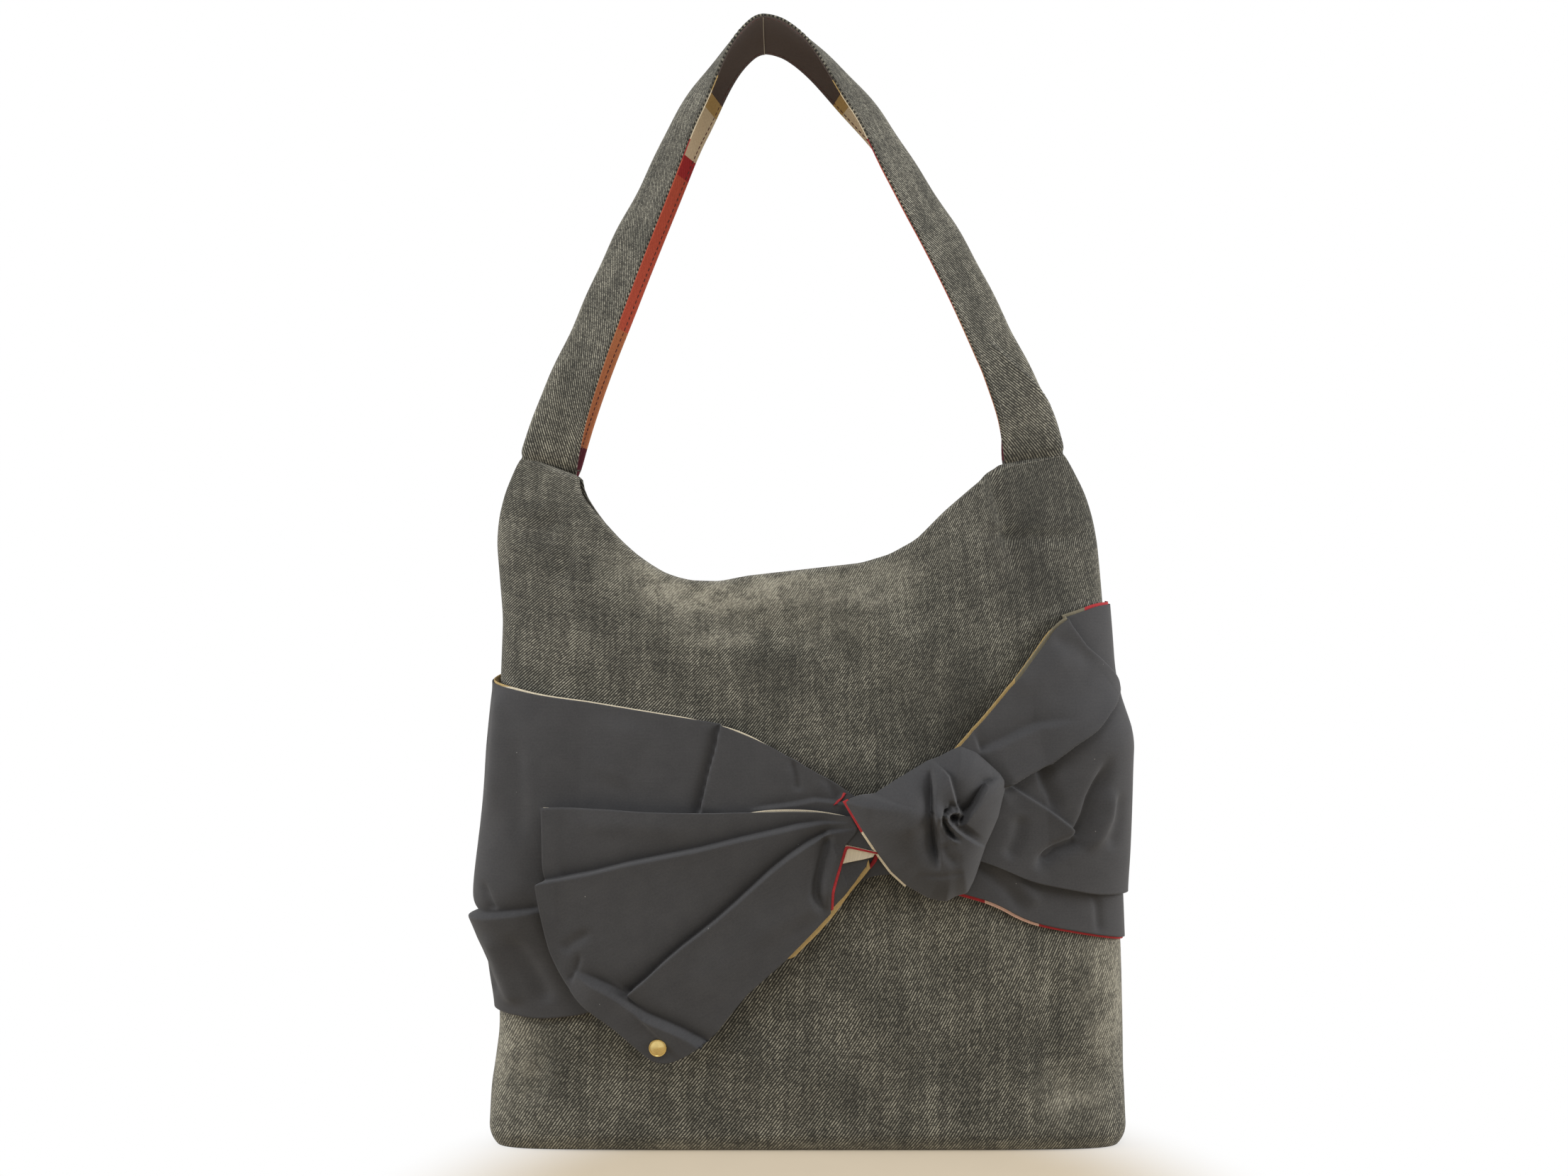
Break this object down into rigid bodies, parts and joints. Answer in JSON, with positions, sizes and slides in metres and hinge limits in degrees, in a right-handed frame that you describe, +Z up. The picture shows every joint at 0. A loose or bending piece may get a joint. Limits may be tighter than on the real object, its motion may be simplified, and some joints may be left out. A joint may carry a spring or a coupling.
{
  "type": "shoulder bag",
  "caption": "Soft denim shoulder bag with a scooped mouth, a folded shoulder strap and a wide cotton sash tied in a knot on the front, with a pleated hanging tail.",
  "frame": {"origin": "middle of the base, on the surface that the bag stands on", "axes": "+Z up, the front with the knot faces -Y, +X to the right seen from the front"},
  "size_m": [0.383, 0.1363, 0.656],
  "materials": {
    "denim": "charcoal right-hand twill denim",
    "lining": "plain-woven tan striped cotton",
    "red_lining": "plain-woven red striped cotton",
    "sash_cotton": "soft charcoal cotton",
    "board": "matt stiffening sheet",
    "snap_steel": "plated",
    "stud_brass": "polished pale gold"
  },
  "bodies": {
    "bag": {"front_panel": "denim", "back_panel": "denim", "front_lining": "lining", "back_lining": "lining", "front_facing": "denim", "back_facing": "denim", "base_panel": "denim", "base_board": "board", "base_lining": "lining", "snap_socket": "snap_steel", "snap_post": "snap_steel", "sash_left_band": "sash_cotton", "sash_left_lining": "lining", "sash_right_band": "sash_cotton", "sash_right_lining": "red_lining", "sash_right_loop": "sash_cotton", "sash_loop_lining": "lining", "sash_knot": "sash_cotton"},
    "strap": {"strap_left": "denim", "strap_right": "denim", "strap_left_lining": "red_lining", "strap_right_lining": "red_lining"},
    "tail": {"sash_tail": "sash_cotton", "sash_tail_lining": "lining", "stud_cap": "stud_brass", "stud_back": "stud_brass"}
  },
  "joints": [
    {"name": "strap_fold", "type": "hinge", "parent": "bag", "child": "strap", "pos_m": [0, 0, 0.412], "axis": [1, 0, 0], "range_deg": [-90, 90]},
    {"name": "tail_lift", "type": "hinge", "parent": "bag", "child": "tail", "pos_m": [0.0194, -0.05925, 0.2028], "axis": [-0.5814, 0, 0.8136], "range_deg": [0, 110]}
  ]
}
